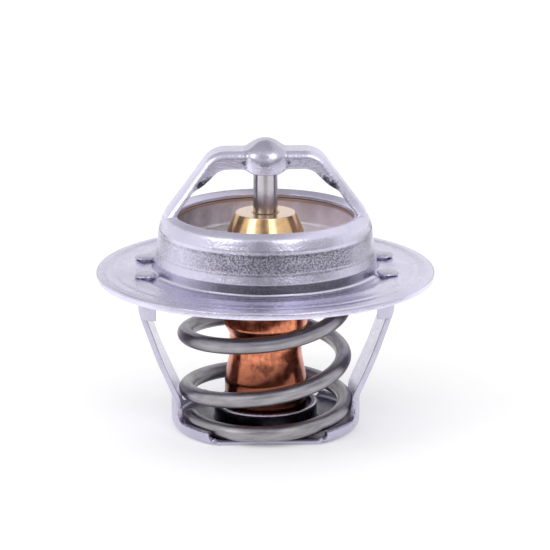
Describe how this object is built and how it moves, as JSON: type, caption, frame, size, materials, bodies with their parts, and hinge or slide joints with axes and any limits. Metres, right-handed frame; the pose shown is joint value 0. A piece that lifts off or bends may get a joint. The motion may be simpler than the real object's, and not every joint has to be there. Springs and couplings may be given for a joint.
{
  "type": "engine thermostat",
  "caption": "Round-flanged engine thermostat with a drawn collar and bridge, a sprung cupped valve disc, a brass and copper wax element and a legged lower frame.",
  "frame": {"origin": "centre of the underside of the lower frame's pan, on the valve's axis", "axes": "+Z along the valve's axis towards the bridge, +X towards one leg of the lower frame and one end of the bridge"},
  "size_m": [0.048, 0.048, 0.0419],
  "materials": {
    "plated_steel": "satin, tumbled zinc plating",
    "plain_steel": "satin, tumbled zinc plating",
    "spring_wire": "drawn wire, semi-bright",
    "disc_steel": "satin",
    "turned_brass": "turned",
    "drawn_copper": "drawn and rolled, bright",
    "black_rubber": "matt",
    "wax": "matt",
    "ground_steel": "ground and polished"
  },
  "bodies": {
    "frame": {"upper_frame": "plated_steel", "lower_frame": "plain_steel", "main_spring": "spring_wire", "piston": "ground_steel"},
    "element": {"valve_disc": "disc_steel", "brass_guide": "turned_brass", "copper_cup": "drawn_copper", "rubber_boot": "black_rubber", "wax_charge": "wax"}
  },
  "joints": [
    {"name": "valve_opening", "type": "slide", "parent": "frame", "child": "element", "axis": [0, 0, -1], "range_m": [0, 0.008], "stiffness_N_per_m": 5400, "springref_m": -0.012, "deforming": ["main_spring"]}
  ]
}
